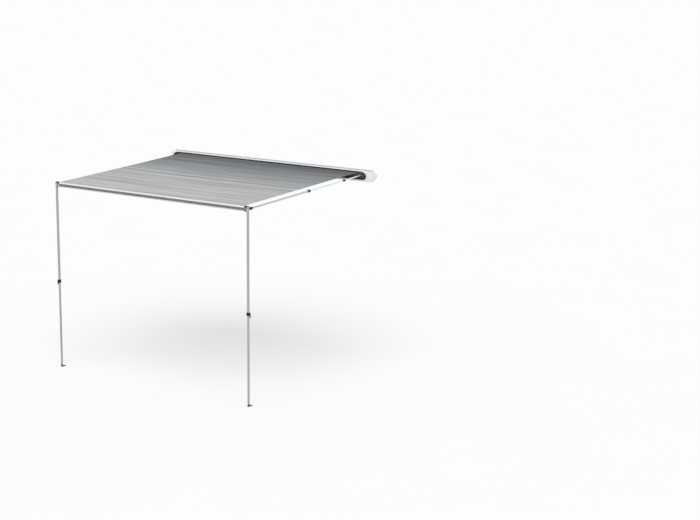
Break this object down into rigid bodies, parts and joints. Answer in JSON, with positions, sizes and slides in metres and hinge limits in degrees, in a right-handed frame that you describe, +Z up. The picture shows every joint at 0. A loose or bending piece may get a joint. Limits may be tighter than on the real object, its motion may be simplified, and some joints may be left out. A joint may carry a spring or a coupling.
{
  "type": "roll out awning",
  "caption": "Caravan roll out awning: a zipped wall bag on a rail bead, a grey canopy on a lead roller, folding telescopic legs with clamps and feet, and telescopic rafters.",
  "frame": {"origin": "centre of the bead that slides into the wall rail, at mid width", "axes": "+X along the wall to the right as seen from outside, +Y into the wall, +Z up"},
  "size_m": [3.14, 2.3118, 2.3535],
  "materials": {
    "bag_sheet": "coated PVC sheet, satin",
    "black_trim": "woven tape",
    "bead_tape": "woven tape",
    "canopy": "coated woven canopy cloth, matt",
    "zip_metal": "moulded",
    "aluminium": "anodised, satin",
    "steel": "zinc plated",
    "black_plastic": "moulded, fine texture",
    "grey_plastic": "moulded",
    "dark_plastic": "moulded",
    "rubber": "moulded, matt"
  },
  "bodies": {
    "bag": {"bag_back": "bag_sheet", "bag_top": "bag_sheet", "bag_floor": "bag_sheet", "bag_end_right": "bag_sheet", "bag_end_left": "bag_sheet", "rail_bead": "bead_tape", "bead_tape": "bead_tape", "zip_tape_upper": "black_trim", "zip_tape_lower": "black_trim", "canopy_fabric": "canopy"},
    "zip_slider": {"zip_slider": "zip_metal"},
    "zip_pull": {"zip_pull": "zip_metal"},
    "lead_carriage": {"bracket_right": "black_plastic", "bracket_left": "black_plastic", "rafter_pins": "steel"},
    "lead_roller": {"roller_back": "aluminium", "roller_upper": "aluminium", "roller_lower": "aluminium", "front_bead": "canopy", "roller_plug_right": "grey_plastic", "roller_plug_left": "grey_plastic", "roller_cap_right": "black_plastic", "roller_cap_left": "black_plastic", "cap_screws": "steel"},
    "leg_yoke_right": {"leg_yoke_right": "aluminium", "leg_pin_right": "steel"},
    "leg_upper_right": {"leg_head_right": "grey_plastic", "leg_upper_tube_right": "aluminium", "leg_clamp_right": "black_plastic"},
    "clamp_lever_right": {"clamp_lever_right": "black_plastic"},
    "leg_lower_right": {"leg_lower_tube_right": "aluminium", "leg_glide_right": "dark_plastic", "foot_tongue_right": "dark_plastic"},
    "foot_right": {"foot_plate_right": "dark_plastic", "foot_pad_right": "rubber"},
    "rafter_outer_right": {"rafter_knuckle_right": "grey_plastic", "rafter_outer_right": "aluminium"},
    "outer_collar_right": {"outer_collar_right": "black_plastic"},
    "rafter_middle_right": {"rafter_middle_right": "aluminium"},
    "middle_collar_right": {"middle_collar_right": "black_plastic"},
    "rafter_inner_right": {"rafter_inner_right": "aluminium", "rafter_boot_right": "grey_plastic"},
    "leg_yoke_left": {"leg_yoke_left": "aluminium", "leg_pin_left": "steel"},
    "leg_upper_left": {"leg_head_left": "grey_plastic", "leg_upper_tube_left": "aluminium", "leg_clamp_left": "black_plastic"},
    "clamp_lever_left": {"clamp_lever_left": "black_plastic"},
    "leg_lower_left": {"leg_lower_tube_left": "aluminium", "leg_glide_left": "dark_plastic", "foot_tongue_left": "dark_plastic"},
    "foot_left": {"foot_plate_left": "dark_plastic", "foot_pad_left": "rubber"},
    "rafter_outer_left": {"rafter_knuckle_left": "grey_plastic", "rafter_outer_left": "aluminium"},
    "outer_collar_left": {"outer_collar_left": "black_plastic"},
    "rafter_middle_left": {"rafter_middle_left": "aluminium"},
    "middle_collar_left": {"middle_collar_left": "black_plastic"},
    "rafter_inner_left": {"rafter_inner_left": "aluminium", "rafter_boot_left": "grey_plastic"}
  },
  "joints": [
    {"name": "zip_run", "type": "slide", "parent": "bag", "child": "zip_slider", "axis": [1, 0, 0], "range_m": [0, 2.818]},
    {"name": "zip_pull_swing", "type": "hinge", "parent": "zip_slider", "child": "zip_pull", "pos_m": [-1.409, -0.1012, -0.104], "axis": [-1, 0, 0], "range_deg": [0, 110]},
    {"name": "roll_out", "type": "slide", "parent": "bag", "child": "lead_carriage", "axis": [0, -0.9991, -0.0435], "range_m": [-1, 0], "deforming": ["canopy_fabric"]},
    {"name": "roller_turn", "type": "hinge", "parent": "lead_carriage", "child": "lead_roller", "pos_m": [0, -2.28, -0.15], "axis": [1, 0, 0], "range_deg": [-5, 1805]},
    {"name": "leg_swivel_right", "type": "hinge", "parent": "lead_carriage", "child": "leg_yoke_right", "pos_m": [1.4, -2.294, -0.15], "axis": [0, 0, -1], "range_deg": [0, 90]},
    {"name": "leg_fold_right", "type": "hinge", "parent": "leg_yoke_right", "child": "leg_upper_right", "pos_m": [1.4, -2.294, -0.15], "axis": [-1, 0, 0], "range_deg": [0, 90]},
    {"name": "lever_open_right", "type": "hinge", "parent": "leg_upper_right", "child": "clamp_lever_right", "pos_m": [1.421, -2.294, -1.2975], "axis": [0, 1, 0], "range_deg": [-90, 0]},
    {"name": "leg_telescope_right", "type": "slide", "parent": "leg_upper_right", "child": "leg_lower_right", "axis": [0, 0, 1], "range_m": [0, 0.93]},
    {"name": "foot_tilt_right", "type": "hinge", "parent": "leg_lower_right", "child": "foot_right", "pos_m": [1.4, -2.294, -2.337], "axis": [-1, 0, 0], "range_deg": [-25, 90]},
    {"name": "rafter_swing_right", "type": "hinge", "parent": "lead_carriage", "child": "rafter_outer_right", "pos_m": [1.4, -2.22605, -0.14765], "axis": [0, -0.0435, 0.9991], "range_deg": [0, 90]},
    {"name": "outer_lock_right", "type": "hinge", "parent": "rafter_outer_right", "child": "outer_collar_right", "pos_m": [1.4, -1.15706, -0.10116], "axis": [0, 0.9991, 0.0435], "range_deg": [-60, 0]},
    {"name": "middle_slide_right", "type": "slide", "parent": "rafter_outer_right", "child": "rafter_middle_right", "axis": [0, 0.9991, 0.0435], "range_m": [-0.637, 0.002]},
    {"name": "middle_lock_right", "type": "hinge", "parent": "rafter_middle_right", "child": "middle_collar_right", "pos_m": [1.4, -0.44773, -0.07031], "axis": [0, 0.9991, 0.0435], "range_deg": [-60, 0]},
    {"name": "inner_slide_right", "type": "slide", "parent": "rafter_middle_right", "child": "rafter_inner_right", "axis": [0, 0.9991, 0.0435], "range_m": [-0.367, 0.002]},
    {"name": "leg_swivel_left", "type": "hinge", "parent": "lead_carriage", "child": "leg_yoke_left", "pos_m": [-1.4, -2.294, -0.15], "axis": [0, 0, 1], "range_deg": [0, 90]},
    {"name": "leg_fold_left", "type": "hinge", "parent": "leg_yoke_left", "child": "leg_upper_left", "pos_m": [-1.4, -2.294, -0.15], "axis": [-1, 0, 0], "range_deg": [0, 90]},
    {"name": "lever_open_left", "type": "hinge", "parent": "leg_upper_left", "child": "clamp_lever_left", "pos_m": [-1.421, -2.294, -1.2975], "axis": [0, -1, 0], "range_deg": [-90, 0]},
    {"name": "leg_telescope_left", "type": "slide", "parent": "leg_upper_left", "child": "leg_lower_left", "axis": [0, 0, 1], "range_m": [0, 0.93]},
    {"name": "foot_tilt_left", "type": "hinge", "parent": "leg_lower_left", "child": "foot_left", "pos_m": [-1.4, -2.294, -2.337], "axis": [-1, 0, 0], "range_deg": [-25, 90]},
    {"name": "rafter_swing_left", "type": "hinge", "parent": "lead_carriage", "child": "rafter_outer_left", "pos_m": [-1.4, -2.18809, -0.146], "axis": [0, 0.0435, -0.9991], "range_deg": [0, 90]},
    {"name": "outer_lock_left", "type": "hinge", "parent": "rafter_outer_left", "child": "outer_collar_left", "pos_m": [-1.4, -1.1191, -0.09951], "axis": [0, 0.9991, 0.0435], "range_deg": [-60, 0]},
    {"name": "middle_slide_left", "type": "slide", "parent": "rafter_outer_left", "child": "rafter_middle_left", "axis": [0, 0.9991, 0.0435], "range_m": [-0.637, 0.002]},
    {"name": "middle_lock_left", "type": "hinge", "parent": "rafter_middle_left", "child": "middle_collar_left", "pos_m": [-1.4, -0.40977, -0.06865], "axis": [0, 0.9991, 0.0435], "range_deg": [-60, 0]},
    {"name": "inner_slide_left", "type": "slide", "parent": "rafter_middle_left", "child": "rafter_inner_left", "axis": [0, 0.9991, 0.0435], "range_m": [-0.367, 0.002]}
  ],
  "couplings": [
    {"joint": "roller_turn", "follows": "roll_out", "rad_per_m": -31.416},
    {"joint": "middle_slide_right", "follows": "roll_out", "ratio": 0.635},
    {"joint": "inner_slide_right", "follows": "roll_out", "ratio": 0.365},
    {"joint": "middle_slide_left", "follows": "roll_out", "ratio": 0.635},
    {"joint": "inner_slide_left", "follows": "roll_out", "ratio": 0.365}
  ]
}
